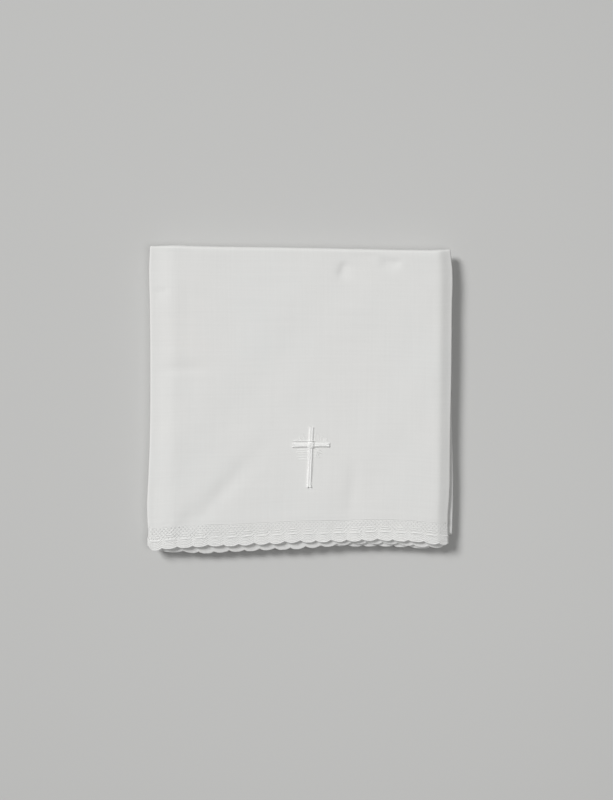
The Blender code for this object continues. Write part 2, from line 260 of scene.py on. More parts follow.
def creaseDepth(x, y):
    depth = np.zeros_like(x)
    for crease in topCreases:
        foot = np.array(crease["from"]) * mm
        run = np.array(crease["to"]) * mm - foot
        length = np.hypot(*run)
        along = ((x - foot[0]) * run[0] + (y - foot[1]) * run[1]) / length
        aside = ((y - foot[1]) * run[0] - (x - foot[0]) * run[1]) / length
        aside -= crease["bow"] * mm * np.sin(np.clip(along / length, 0, 1) * math.pi)
        width = np.where(aside < 0, crease["steep"], crease["slow"]) * mm
        start, end = creaseFade
        fade = easeStep(0, start, along / length) * (1 - easeStep(end, 1.0, along / length))
        depth += crease["depth"] * mm * fade * np.exp(-((aside / width) ** 2))
    return depth


def heightLeft(x, y):
    left = np.ones_like(x)
    for form in softForms:
        turn = math.radians(form["turn"])
        dx, dy = x - form["x"] * mm, y - form["y"] * mm
        along = dx * math.cos(turn) + dy * math.sin(turn)
        aside = dy * math.cos(turn) - dx * math.sin(turn)
        far = (along / (form["length"] * mm)) ** 2 + (aside / (form["width"] * mm)) ** 2
        left -= form["depth"] * np.exp(-far)
    return left


def wave(x, y, layer, row):
    # another unevenness for each layer
    phase = layer * waveShift["layer"] + row * waveShift["row"]
    height = np.zeros_like(x)
    for one in slowWaves:
        turn = x * one["x"] + y * one["y"] + one["shift"] * phase + one["start"]
        height += one["share"] * np.sin(turn)
    return foldForm["waviness"] * height


def foldPoints(u, v, w):
    u, v, w = (np.asarray(a, float) for a in (u, v, w))
    gap = foldForm["rowGap"]
    squash = foldForm["pressedFold"]
    x, height, layer = foldAcross(u, w)
    topY = smoothLine(inMetres(topFoldLine), x) - squash * (stackHeight + gap / 2)
    lowY = smoothLine(inMetres(lowerFoldLine), x) + squash * (stackHeight + gap / 2)
    hemY = smoothLine(hemPoints, u)
    backY = smoothLine(inMetres(backHemLine), x)
    starts = [alongAt(1, 0), alongAt(1, 1), alongAt(2, 0), alongAt(2, 1), alongAt(3, 0)]
    lengths = foldForm["rowLengths"]
    y = np.zeros_like(u)
    z = np.zeros_like(u)
    row = np.ones(len(u), int)

    # the thin lace lets the layers of the front hem settle on each other
    pinch = foldForm["hemPinch"] * (1 - easeStep(0, foldForm["pinchLength"], v))
    height = height * (1 - pinch) + pinch * foldForm["pinchHeight"] * pitch

    at = v <= starts[1]
    part = v[at] / lengths[0]
    y[at] = hemY[at] + (topY[at] - hemY[at]) * part
    z[at] = 2 * stackHeight + 2 * gap + height[at]

    at = (v > starts[1]) & (v < starts[2])
    angle = math.pi * (v[at] - starts[1]) / rowTurnLength
    reach = height[at] + gap / 2
    y[at] = topY[at] + squash * reach * np.sin(angle)
    z[at] = 2 * stackHeight + 1.5 * gap + reach * np.cos(angle)

    at = (v >= starts[2]) & (v <= starts[3])
    part = (v[at] - starts[2]) / lengths[1]
    y[at] = topY[at] + (lowY[at] - topY[at]) * part
    z[at] = 2 * stackHeight + gap - height[at]
    row[at] = 2

    at = (v > starts[3]) & (v < starts[4])
    angle = math.pi * (v[at] - starts[3]) / rowTurnLength
    reach = stackHeight - height[at] + gap / 2
    y[at] = lowY[at] - squash * reach * np.sin(angle)
    z[at] = stackHeight + gap / 2 + reach * np.cos(angle)
    row[at] = 2

    at = v >= starts[4]
    part = (v[at] - starts[4]) / lengths[2]
    y[at] = lowY[at] + (backY[at] - lowY[at]) * part
    z[at] = height[at]
    row[at] = 3

    half = turnX + turnRadius + foldForm["clothFace"]
    left = smoothLine(sidePoints, v, 1)
    right = smoothLine(sidePoints, v, 2)
    x = left + (right - left) * (x + half) / (2 * half)

    # the lowest layer keeps flat on the table, the others are a little uneven
    loose = easeStep(0, 2 * pitch, z)
    inTurn = ((v > starts[1]) & (v < starts[2])) | ((v > starts[3]) & (v < starts[4]))
    z += np.where(inTurn, 0, loose * wave(x, y, layer, row))
    top = (row == 1) & (layer == 2) & ~inTurn
    z -= np.where(top, creaseDepth(x, y), 0)
    # past the lower fold nothing carries the front hem, so it hangs, the lowest layer most
    over = np.clip((foldForm["droopFrom"] - y) / foldForm["droopLength"], 0, foldForm["droopLimit"])
    share = np.array(foldForm["droopShares"])[layer]
    z -= np.where(row == 1, foldForm["hemDroop"] * over**2 * share, 0)
    z *= heightLeft(x, y)
    z *= 1 - foldForm["rightSag"] * slopeDown(foldForm["rightSagFrom"], half, x)
    # the lace draws in round the side folds
    for curl in cornerCurls:
        middle = columnLengths["left"] + turnLength / 2
        if curl["fold"] == "right":
            middle += turnLength + columnLengths["centre"]
        inward = np.clip(1 - v / foldForm["curlLength"], 0, 1) ** 2
        y += curl["rise"] * inward * np.exp(-(((u - middle) / curl["width"]) ** 2))
    return x, y, z


# Helpers for the modelling

weldWithin = 0.001 * mm


def selectOnly(obj):
    bpy.ops.object.select_all(action="DESELECT")
    obj.select_set(True)
    bpy.context.view_layer.objects.active = obj


def applyModifiers(obj):
    selectOnly(obj)
    for modifier in list(obj.modifiers):
        bpy.ops.object.modifier_apply(modifier=modifier.name)


def readPoints(mesh):
    points = np.empty(len(mesh.vertices) * 3)
    mesh.vertices.foreach_get("co", points)
    return points.reshape(-1, 3)


def writePoints(mesh, points):
    mesh.vertices.foreach_set("co", np.ascontiguousarray(points, float).ravel())
    mesh.update()


def flatGrid(name, columns, rows):
    # a unit square of faces round the origin
    bpy.ops.object.select_all(action="DESELECT")
    bpy.ops.mesh.primitive_grid_add(x_subdivisions=columns, y_subdivisions=rows, size=1)
    obj = bpy.context.active_object
    obj.name = obj.data.name = name
    return obj


def thicken(obj, thickness):
    solid = obj.modifiers.new("thickness", "SOLIDIFY")
    solid.thickness = thickness
    solid.offset = 0
    return solid


def finishPiece(obj, smoothBelow, material=None):
    # faces that turn by less than so many degrees shade as one
    selectOnly(obj)
    bpy.ops.object.shade_smooth_by_angle(angle=math.radians(smoothBelow))
    if material:
        obj.data.materials.append(material)


def waysOf(degrees):
    # ahead and to the left of a heading
    turn = math.radians(degrees)
    return np.array([math.cos(turn), math.sin(turn)]), np.array([-math.sin(turn), math.cos(turn)])


def flatUv(mesh, places):
    # the UV map holds each point's place on the flat cloth, in metres
    layer = mesh.uv_layers.new(name="flat") if not mesh.uv_layers else mesh.uv_layers[0]
    layer.name = "flat"
    corner = np.empty(len(mesh.loops), np.int32)
    mesh.loops.foreach_get("vertex_index", corner)
    layer.data.foreach_set("uv", np.ascontiguousarray(places[corner], float).ravel())


def foldMesh(obj):
    # takes a mesh drawn on the flat cloth to its place in the folded one
    flat = readPoints(obj.data)
    flatUv(obj.data, flat[:, :2])
    writePoints(obj.data, np.stack(foldPoints(*flat.T), 1))


def threads(name, runs, sides=0):
    # round threads along runs of points, as one mesh: a run has one radius, or one a point
    curve = bpy.data.curves.new(name, "CURVE")
    curve.dimensions = "3D"
    curve.bevel_depth = 1.0
    curve.bevel_resolution = sides
    curve.use_fill_caps = True
    for points, radius in runs:
        spline = curve.splines.new("POLY")
        spline.points.add(len(points) - 1)
        radii = radius if isinstance(radius, (list, tuple)) else [radius] * len(points)
        for place, width, point in zip(points, radii, spline.points):
            point.co = (*place, 1)
            point.radius = width
    obj = bpy.data.objects.new(name, curve)
    bpy.context.scene.collection.objects.link(obj)
    selectOnly(obj)
    bpy.ops.object.convert(target="MESH")
    obj = bpy.context.view_layer.objects.active
    bpy.ops.object.mode_set(mode="EDIT")
    bpy.ops.mesh.select_all(action="SELECT")
    bpy.ops.mesh.remove_doubles(threshold=weldWithin)
    bpy.ops.mesh.normals_make_consistent(inside=False)
    bpy.ops.object.mode_set(mode="OBJECT")
    return obj


# Materials


def fillInputs(tree, node, inputs):
    for key, value in inputs.items():
        if isinstance(value, bpy.types.NodeSocket):
            tree.links.new(value, node.inputs[key])
        else:
            node.inputs[key].default_value = value


def addNode(tree, kind, inputs, **settings):
    node = tree.nodes.new(kind)
    for key, value in settings.items():
        setattr(node, key, value)
    fillInputs(tree, node, inputs)
    return node


def mathNode(tree, operation, first, second=0.0):
    return addNode(tree, "ShaderNodeMath", {0: first, 1: second}, operation=operation).outputs[0]


def groupTree(name, inputs, outputs):
    tree = bpy.data.node_groups.new(name, "ShaderNodeTree")
    for label, kind, value in inputs:
        socket = tree.interface.new_socket(label, in_out="INPUT", socket_type=kind)
        if value is not None:
            socket.default_value = value
    for label, kind in outputs:
        tree.interface.new_socket(label, in_out="OUTPUT", socket_type=kind)
    return tree, tree.nodes.new("NodeGroupInput"), tree.nodes.new("NodeGroupOutput")


weaveForm = {
    "overRise": 0.45,           # how much higher a thread lies where it passes over another
    "slubAlong": 22.0, "slubAcross": 900.0, "slubRoughness": 0.6, "slubShade": 0.5,
}


def plainWeaveGroup():
    # plain weave with thick and thin threads, on the flat cloth's own metres
    tree, given, result = groupTree(
        "plainWeave",
        [("Flat Place", "NodeSocketVector", None), ("Threads per Metre", "NodeSocketFloat", 1900.0),
         ("Slubs", "NodeSocketFloat", 0.5)],
        [("Height", "NodeSocketFloat"), ("Shade", "NodeSocketFloat")],
    )
    place = given.outputs["Flat Place"]
    parts = addNode(tree, "ShaderNodeSeparateXYZ", {0: place}).outputs
    waves = []
    for axis in (0, 1):
        turn = mathNode(tree, "MULTIPLY", given.outputs["Threads per Metre"], math.pi)
        waves.append(mathNode(tree, "SINE", mathNode(tree, "MULTIPLY", parts[axis], turn)))
    # each thread rises where it passes over the one that crosses it
    rise = weaveForm["overRise"]
    over = mathNode(tree, "MULTIPLY", mathNode(tree, "MULTIPLY", waves[0], waves[1]), rise)
    warp = mathNode(tree, "MULTIPLY", mathNode(tree, "ABSOLUTE", waves[0]),
                    mathNode(tree, "ADD", over, 1 - rise))
    weft = mathNode(tree, "MULTIPLY", mathNode(tree, "ABSOLUTE", waves[1]),
                    mathNode(tree, "SUBTRACT", 1 - rise, over))
    crossing = mathNode(tree, "MAXIMUM", warp, weft)
    slubs = []
    low, high = weaveForm["slubAlong"], weaveForm["slubAcross"]
    for stretch in ((low, high, 1.0), (high, low, 1.0)):
        scaled = addNode(tree, "ShaderNodeMapping", {"Vector": place, "Scale": stretch}).outputs[0]
        noise = addNode(tree, "ShaderNodeTexNoise",
                        {"Vector": scaled, "Scale": 1.0, "Detail": 2.0,
                         "Roughness": weaveForm["slubRoughness"]})
        slubs.append(mathNode(tree, "SUBTRACT", noise.outputs[0], 0.5))
    thick = mathNode(tree, "MULTIPLY", mathNode(tree, "ADD", slubs[0], slubs[1]),
                     given.outputs["Slubs"])
    height = mathNode(tree, "ADD", crossing, thick)
    shade = mathNode(tree, "ADD", mathNode(tree, "MULTIPLY", thick, weaveForm["slubShade"]), 1.0)
    fillInputs(tree, result, {"Height": height, "Shade": shade})
    return tree


def clothShadeGroup():
    # slow, faint changes of tone, as on linen that has been washed and starched
    tree, given, result = groupTree(
        "washedTone",
        [("Flat Place", "NodeSocketVector", None), ("Cool", "NodeSocketColor", (0.8, 0.8, 0.8, 1)),
         ("Warm", "NodeSocketColor", (0.8, 0.8, 0.8, 1)), ("Patch Scale", "NodeSocketFloat", 14.0)],
        [("Color", "NodeSocketColor")],
    )
    noise = addNode(tree, "ShaderNodeTexNoise",
                    {"Vector": given.outputs["Flat Place"], "Scale": given.outputs["Patch Scale"],
                     "Detail": 3.0, "Roughness": 0.55})
    mix = addNode(tree, "ShaderNodeMix",
                  {"Factor": noise.outputs[0], 6: given.outputs["Cool"], 7: given.outputs["Warm"]},
                  data_type="RGBA")
    fillInputs(tree, result, {"Color": mix.outputs[2]})
    return tree


weaveTree = plainWeaveGroup()
toneTree = clothShadeGroup()

clothShader = {"sheenRoughness": 0.5, "specular": 0.3, "bumpStrength": 0.6}
linenFinish = {
    "cool": (0.755, 0.765, 0.755), "warm": (0.785, 0.775, 0.755), "roughness": 0.82, "sheen": 0.10,
    "threadsPerMetre": 2100.0, "slubs": 0.10, "bump": 0.10 * mm,
}
laceFinish = {
    "cool": (0.82, 0.83, 0.82), "warm": (0.85, 0.84, 0.82), "roughness": 0.75, "sheen": 0.12,
    "threadsPerMetre": 3600.0, "slubs": 0.15, "bump": 0.08 * mm,
}
groundFinish = {
    **laceFinish, "roughness": 0.85, "sheen": 0.05,
    "threadsPerMetre": 2600.0, "slubs": 0.2, "bump": 0.10 * mm,
}
satinFinish = {
    "cool": (0.88, 0.89, 0.88), "warm": (0.90, 0.895, 0.88), "roughness": 0.34, "sheen": 0.25,
    "threadsPerMetre": 9000.0, "slubs": 0.1, "bump": 0.02 * mm,
}


def clothMaterial(name, finish):
    made = bpy.data.materials.new(name)
    made.use_nodes = True
    tree = made.node_tree
    place = addNode(tree, "ShaderNodeUVMap", {}, uv_map="flat").outputs[0]
    tone = addNode(tree, "ShaderNodeGroup",
                   {"Flat Place": place, "Cool": (*finish["cool"], 1), "Warm": (*finish["warm"], 1)},
                   node_tree=toneTree)
    weave = addNode(tree, "ShaderNodeGroup",
                    {"Flat Place": place, "Threads per Metre": finish["threadsPerMetre"],
                     "Slubs": finish["slubs"]}, node_tree=weaveTree)
    shaded = addNode(tree, "ShaderNodeVectorMath",
                     {0: tone.outputs["Color"], "Scale": weave.outputs["Shade"]}, operation="SCALE")
    bump = addNode(tree, "ShaderNodeBump",
                   {"Strength": clothShader["bumpStrength"], "Distance": finish["bump"],
                    "Height": weave.outputs["Height"]})
    fillInputs(tree, tree.nodes["Principled BSDF"], {
        "Base Color": shaded.outputs[0], "Normal": bump.outputs[0],
        "Roughness": finish["roughness"], "Specular IOR Level": clothShader["specular"],
        "Sheen Weight": finish["sheen"], "Sheen Roughness": clothShader["sheenRoughness"],
    })
    return made


linenMaterial = clothMaterial("washedLinen", linenFinish)
laceMaterial = clothMaterial("cottonLace", laceFinish)
groundMaterial = clothMaterial("laceGround", groundFinish)
satinMaterial = clothMaterial("satinThread", satinFinish)


# The linen

linenSize = {
    "layer": 0.48 * mm, "hemWidth": 4.0 * mm, "hemThicker": 1.2,
    "laceWidth": 11.5 * mm,
    "fineStep": 1.18 * mm,      # on the layer that shows
    "hiddenStep": 7.0 * mm,     # on the layers beneath it
    "turnSteps": 8, "rowTurnSteps": 16,
    "foldZone": 10.0 * mm, "freeZone": 16.0 * mm,    # closer columns by a side fold and a free edge
    "hemFull": 0.8,             # part of the hem that has its full thickness
    "smoothBelow": 50,
}


def stations(pieces):
    # runs of (start, end, steps) made one rising list
    out = []
    for start, end, steps in pieces:
        out += [start + (end - start) * i / steps for i in range(steps)]
    return np.array(out + [pieces[-1][1]])


def linenStations():
    size = linenSize
    edge = size["laceWidth"]
    hem = size["hemWidth"]
    zone = size["foldZone"]
    left, centre = columnLengths["left"], columnLengths["centre"]
    afterLeft, beforeRight = left + turnLength, left + turnLength + centre
    across = stations([
        (edge, edge + hem, 3),
        (edge + hem, left - zone, round((left - edge) / size["hiddenStep"])),
        (left - zone, left, 5),
        (left, afterLeft, size["turnSteps"]),
        (afterLeft, beforeRight, round(centre / size["fineStep"])),
        (beforeRight, beforeRight + turnLength, size["turnSteps"]),
        (beforeRight + turnLength, beforeRight + turnLength + zone, 5),
        (beforeRight + turnLength + zone, flatWidth - edge - size["freeZone"],
         round((left - edge) / size["hiddenStep"])),
        (flatWidth - edge - size["freeZone"], flatWidth - edge - hem, 4),
        (flatWidth - edge - hem, flatWidth - edge, 3),
    ])
    first = foldForm["rowLengths"][0]
    along = stations([
        (edge, edge + hem, 4),
        (edge + hem, first, round((first - edge - hem) / size["fineStep"])),
        (first, alongAt(2, 0), size["rowTurnSteps"]),
        (alongAt(2, 0), alongAt(2, 1), round(foldForm["rowLengths"][1] / size["hiddenStep"])),
        (alongAt(2, 1), alongAt(3, 0), size["rowTurnSteps"]),
        (alongAt(3, 0), flatLength - edge - hem,
         round(foldForm["rowLengths"][2] / size["hiddenStep"])),
        (flatLength - edge - hem, flatLength - edge, 3),
    ])
    return across, along


def makeLinen():
    across, along = linenStations()
    obj = flatGrid("linenCloth", len(across) - 1, len(along) - 1)
    grid = readPoints(obj.data)
    i = np.rint((grid[:, 0] + 0.5) * (len(across) - 1)).astype(int)
    j = np.rint((grid[:, 1] + 0.5) * (len(along) - 1)).astype(int)
    flat = np.stack([across[i], along[j], np.zeros(len(i))], 1)
    writePoints(obj.data, flat)
    # the turned hem is thicker than the single cloth
    edge, hem = linenSize["laceWidth"], linenSize["hemWidth"]
    inward = np.minimum.reduce([
        flat[:, 0] - edge, flatWidth - edge - flat[:, 0],
        flat[:, 1] - edge, flatLength - edge - flat[:, 1],
    ])
    group = obj.vertex_groups.new(name="thickness")
    single = 1 / linenSize["hemThicker"]
    for index, away in enumerate(inward):
        group.add([index], 1.0 if away < linenSize["hemFull"] * hem else single, "REPLACE")
    foldMesh(obj)
    solid = thicken(obj, linenSize["layer"] * linenSize["hemThicker"])
    solid.vertex_group = "thickness"
    solid.thickness_vertex_group = 0
    applyModifiers(obj)
    obj.vertex_groups.clear()
    finishPiece(obj, linenSize["smoothBelow"], linenMaterial)
    return obj


# The lace: a close ground with raised threads on it, worked on the flat and then folded

laceSize = {
    "width": 11.9 * mm,         # from the tips to where it lies on the hem
    "scallop": 7.76 * mm, "depth": 1.15 * mm, "roundness": 2.1, "firstValley": 3.1 * mm,
    "ground": 0.14 * mm,
    "groundDrop": 0.14 * mm,    # how far the ground lies below the threads' middle
    "groundInset": 0.2 * mm,
    "rimRadius": 0.34 * mm, "rimWave": 0.98,
    "headRadius": 0.32 * mm, "headInset": 0.5 * mm, "headLift": 0.02 * mm,
    "flatness": 0.62,           # height of a thread against its width
    "lift": 0.14 * mm,          # the lace is sewn on level with the face of the hem
    "fanArcs": 4, "fanStep": 0.80 * mm, "fanRadius": 0.23 * mm, "fanLift": 0.10 * mm,
    "fanWave": 0.7, "fanBend": 0.55,
    "fanSpokes": 8, "spokeRadius": 0.18 * mm, "spokeLift": 0.04 * mm,
    "leafLength": 4.8 * mm, "leafRadius": 0.52 * mm, "leafFrom": 4.7 * mm, "leafLift": 0.28 * mm,
    "leafTip": 0.25, "leafSwell": 0.6,
    "bars": 2, "barLength": 4.6 * mm, "barRadius": 0.28 * mm, "barsFrom": 6.2 * mm,
    "barStep": 1.05 * mm, "barLift": 0.24 * mm, "barShorter": 0.12,
    "netFrom": 5.2 * mm, "netTo": 11.3 * mm, "netCells": 4, "netRows": 3,
    "netRadius": 0.16 * mm, "netOver": 0.12 * mm, "netUnder": 0.02 * mm,
    "eyeletPull": 0.30,         # how much the ground round an eyelet draws in on it
    # in cells of the net: half an eyelet, its nearest place to the net's edge, what draws in
    "eyeletHalf": 0.1, "eyeletMargin": 0.4, "eyeletRound": 0.3,
    # how far the lace stops short of the cloth's corners: a length, and parts of an edge
    "cornerMargin": 0.4 * mm, "backMargin": 0.0002, "sideMargin": 0.0003,
    # no two scallops are quite alike: how far they shift, and how often
    "shifts": ((0.16 * mm, 2.3, 1.0), (0.10 * mm, 5.9, 0.0)),
    "smoothBelow": 60,
}
# How closely each edge is worked: columns of the ground in a repeat, its rows below the net and in
# it, points along a fan, and how plump the leaves and bars are. No rows in the net: no net
fineWork = {"columns": 16, "rimRows": 8, "meshRows": 12, "arcPoints": 13, "plump": 1.0}
plainWork = {"columns": 6, "rimRows": 5, "meshRows": 0, "arcPoints": 7, "plump": 0.6}


def scallopNotch(part):
    return laceSize["depth"] * np.abs(2 * np.asarray(part) - 1) ** laceSize["roundness"]


def laceRepeat(work):
    size = laceSize
    repeat = size["scallop"]
    runs = []
    parts = np.linspace(0, 1, work["arcPoints"] + 2)
    rim = scallopNotch(parts) * size["rimWave"]
    runs.append(([(p * repeat, r + size["rimRadius"], 0) for p, r in zip(parts, rim)],
                 size["rimRadius"]))
    # rows of clothwork inside the rim, more bent the further in they lie
    parts = np.linspace(0, 1, work["arcPoints"])
    for k in range(1, size["fanArcs"] + 1):
        low = size["rimRadius"] + k * size["fanStep"]
        arc = low + scallopNotch(parts) * (1 + size["fanBend"] * k) * size["fanWave"]
        runs.append(([(p * repeat, a, size["fanLift"]) for p, a in zip(parts, arc)],
                     size["fanRadius"]))
    # a plump leaf across the heart of each scallop, and short bars above it
    crossways = [(size["leafFrom"], size["leafLength"], size["leafRadius"], size["leafLift"])]
    for k in range(size["bars"]):
        shorter = 1 - size["barShorter"] * k
        crossways.append((size["barsFrom"] + k * size["barStep"],
                          size["barLength"] * shorter, size["barRadius"], size["barLift"]))
    parts = np.linspace(0, 1, 9)
    for start, length, radius, lift in crossways:
        lift *= work["plump"]
        swell = [radius * work["plump"] * max(size["leafTip"], math.sin(math.pi * p))
                 ** size["leafSwell"] for p in parts]
        runs.append(([(repeat / 2 + (p - 0.5) * length, start, lift) for p in parts], swell))
    if work["meshRows"]:
        # spokes from the leaf to the rim
        for s in range(size["fanSpokes"]):
            part = (s + 0.5) / size["fanSpokes"]
            foot = (part * repeat, float(scallopNotch(part)) + size["rimRadius"])
            top = (repeat / 2 + (part - 0.5) * size["leafLength"], size["leafFrom"])
            runs.append(([(*top, size["spokeLift"]), (*foot, size["spokeLift"])],
                         size["spokeRadius"]))
        # net of crossing threads up to the head
        low, high = size["netFrom"], size["netTo"]
        cell = repeat / size["netCells"]
        steps = 2 * size["netRows"]
        for k in range(size["netCells"]):
            for way in (1, -1):
                points = []
                for i in range(steps + 1):
                    over = (i + (way > 0)) % 2
                    points.append((cell * (k + way * (i - steps / 2) / 2),
                                   low + (high - low) * i / steps,
                                   size["netOver"] if over else size["netUnder"]))
                runs.append((points, size["netRadius"]))
    # the cord at the head hides the edge of the hem
    parts = np.linspace(0, 1, 5)
    runs.append(([(p * repeat, size["width"] - size["headInset"], size["headLift"]) for p in parts],
                 size["headRadius"]))
    return threads("laceRepeat", runs)


def groundPlace(grid, work, count):
    # from the square of the grid to (repeats along, across from the tips). The columns are set off
    # by half a face, so that a face lies in the middle of each cell of the net
    size = laceSize
    along = np.clip(grid[:, 0] * count + 0.5 / work["columns"], 0, count)
    along *= grid[:, 0] > 0.1 / (count * work["columns"])    # the first column stays at the end
    low = scallopNotch(along % 1) * size["rimWave"] + size["rimRadius"]
    row = np.rint(grid[:, 1] * (work["rimRows"] + work["meshRows"]))
    head = size["width"] - size["groundInset"]
    quarter = (size["netTo"] - size["netFrom"]) / (4 * size["netRows"])
    base = size["netFrom"] + quarter / 2 if work["meshRows"] else head
    across = low + (base - low) * np.minimum(row / work["rimRows"], 1)
    across += quarter * np.clip(row - work["rimRows"], 0, None)
    across = np.where(row == work["rimRows"] + work["meshRows"], head, across)
    return along, across


def fromCell(along, across):
    # how far a place lies from the middle of its cell of the net, in cells, and its row
    size = laceSize
    up = (across - size["netFrom"]) / (size["netTo"] - size["netFrom"]) * size["netRows"]
    lean = up - size["netRows"] / 2
    one = (along * size["netCells"] + lean) % 1 - 0.5
    other = (along * size["netCells"] - lean) % 1 - 0.5
    return (one + other) / 2, (one - other) / 2, up


def laceGround(name, work, count, place):
    size = laceSize
    obj = flatGrid(name, count * work["columns"], work["rimRows"] + work["meshRows"])
    along, across = groundPlace(readPoints(obj.data) + 0.5, work, count)
    up = np.full(len(along), size["lift"] - size["groundDrop"])
    if work["meshRows"]:
        # one small eyelet in each cell between the crossing threads
        writePoints(obj.data, np.stack([along, across, up], 1))
        middles = np.empty(len(obj.data.polygons) * 3)
        obj.data.polygons.foreach_get("center", middles)
        middles = middles.reshape(-1, 3)
        aside, above, row = fromCell(middles[:, 0], middles[:, 1])
        half, margin = size["eyeletHalf"], size["eyeletMargin"]
        eyelet = (np.abs(aside) < half) & (np.abs(above) < half)
        eyelet &= (row > margin) & (row < size["netRows"] - margin)
        obj.data.polygons.foreach_set("select", eyelet)
        bpy.context.tool_settings.mesh_select_mode = (False, False, True)
        bpy.ops.object.mode_set(mode="EDIT")
        bpy.ops.mesh.delete(type="FACE")
        bpy.ops.object.mode_set(mode="OBJECT")
        along, across, up = readPoints(obj.data).T
        aside, above, row = fromCell(along, across)
        near = np.abs(aside) + np.abs(above) < size["eyeletRound"]
        near &= (row > size["eyeletRound"]) & (row < size["netRows"] - size["eyeletRound"])
        pull = np.where(near, size["eyeletPull"], 0)
        along = along - pull * aside / size["netCells"]
        across = across - pull * above * (size["netTo"] - size["netFrom"]) / size["netRows"]
    writePoints(obj.data, place(np.stack([along, across, up], 1), count))
    foldMesh(obj)
    thicken(obj, size["ground"])
    applyModifiers(obj)
    obj.data.materials.append(groundMaterial)
    return obj


def laceAlong(name, repeat, work, count, place):
    # copies the repeat, and place takes (repeats along, across, up) to the flat cloth
    obj = bpy.data.objects.new(name, repeat.data.copy())
    bpy.context.scene.collection.objects.link(obj)
    row = obj.modifiers.new("repeats", "ARRAY")
    row.count = count
    row.use_relative_offset = False
    row.use_constant_offset = True
    row.constant_offset_displace = (laceSize["scallop"], 0, 0)
    applyModifiers(obj)
    flat = readPoints(obj.data)
    flat[:, 0] /= laceSize["scallop"]
    flat[:, 2] = flat[:, 2] * laceSize["flatness"] + laceSize["lift"]
    writePoints(obj.data, place(flat, count))
    foldMesh(obj)
    obj.data.materials.append(laceMaterial)
    ground = laceGround(name + "Ground", work, count, place)
    selectOnly(obj)
    ground.select_set(True)
    bpy.ops.object.join()
    finishPiece(obj, laceSize["smoothBelow"])
    return obj


def frontPlace(flat, count):
    # full repeats at their pitch, and a wider one round each corner
    knots = [laceSize["firstValley"] + laceSize["scallop"] * (k + 1) for k in range(count - 1)]
    margin = laceSize["cornerMargin"]
    knots = [margin] + knots + [flatWidth - margin]
    u = np.interp(flat[:, 0], np.arange(count + 1), knots)
    shift = sum(far * np.sin(flat[:, 0] * often + start) for far, often, start in laceSize["shifts"])
    v = flat[:, 1] + shift * np.clip(1 - flat[:, 1] / laceSize["width"], 0, 1)
    return np.stack([u, np.maximum(v, 0), flat[:, 2]], 1)


def backPlace(flat, count):
    margin = laceSize["backMargin"]
    u = np.clip(flat[:, 0] / count, margin, 1 - margin) * flatWidth
    return np.stack([flatWidth - u, flatLength - flat[:, 1], flat[:, 2]], 1)


def sidePlace(flat, count):
    # the left third's edge first, then the right third's
    half = count // 2
    leftOne = flat[:, 0] < half
    part = np.where(leftOne, flat[:, 0], flat[:, 0] - half) / half
    part = np.clip(part, laceSize["sideMargin"], 1 - laceSize["sideMargin"])
    start, end = laceSize["width"], flatLength - laceSize["width"]
    v = np.where(leftOne, end + (start - end) * part, start + (end - start) * part)
    u = np.where(leftOne, flat[:, 1], flatWidth - flat[:, 1])
    return np.stack([u, v, flat[:, 2]], 1)


def makeLace():
    fine, plain = laceRepeat(fineWork), laceRepeat(plainWork)
    made = [
        laceAlong("laceFront", fine, fineWork, 56, frontPlace),
        laceAlong("laceBack", plain, plainWork, 56, backPlace),
        laceAlong("laceSides", plain, plainWork, 106, sidePlace),
    ]
    for repeat in (fine, plain):
        bpy.data.objects.remove(repeat)
    return made


# The cross: padding, satin stitches over it, the boss, and fine stitches round it

crossSize = {
    "x": 5.6 * mm, "y": -23.0 * mm,
    # crossbar and upright. ridge: where the crown of the padding runs, from one side (-1) to the
    # other (1); forks: which ends (-1 back, 1 forward) are forked
    "arms": (
        {"forward": 9.3 * mm, "back": 9.4 * mm, "width": 2.2 * mm, "turn": 1.0, "ridge": -0.4,
         "forks": (-1, 1)},
        {"forward": 9.4 * mm, "back": 21.4 * mm, "width": 2.7 * mm, "turn": 87.6, "ridge": 0.6,
         "forks": (-1,)},
    ),
    "flare": 1.08, "flareLength": 1.6,    # at the ends, and over how many arm widths
    "rise": 0.62 * mm, "crown": 1.2, "crownReach": 0.97, "sunk": 0.06 * mm,
    "stitchPitch": 0.27 * mm, "stitchRadius": 0.155 * mm,
    "bossWidth": 3.7 * mm, "bossRise": 0.90 * mm, "bossPitch": 0.19 * mm, "bossStitch": 0.23 * mm,
    "bossFall": 0.8, "bossDiagonal": 0.7,
    # the forked ends: their radius, where foot and tip lie from the end and aside, and how high
    "lobe": 0.34 * mm, "forkInset": 0.2 * mm, "forkBack": 0.8 * mm, "forkOut": 0.35 * mm,
    "forkAside": (0.24, 0.36), "forkHeights": (0.35 * mm, 0.5 * mm, 0.15 * mm),
    # the laid cord: how far above the crossbar, from where to where, and how it climbs the upright
    "outline": 1.15 * mm, "outlineFrom": -9.2 * mm, "outlineTo": 2.6 * mm,
    "outlineRadius": 0.24 * mm, "outlineLift": 0.16 * mm, "outlineClimb": 1.3 * mm,
    "fineRadius": 0.20 * mm,
    # cords of padding under the stitches, in arm widths aside and across
    "padsAside": (-0.15, 0.2), "padRadius": 0.17, "padHeight": 0.18 * mm, "padShort": 0.3 * mm,
    # how uneven the stitches are: how often their length changes, and by how much
    "uneven": ((0.33, 0.06), (2.4, 0.05), (5.1, 0.03)),
    "slant": 0.12, "slantOften": 0.9, "smoothBelow": 70,
}
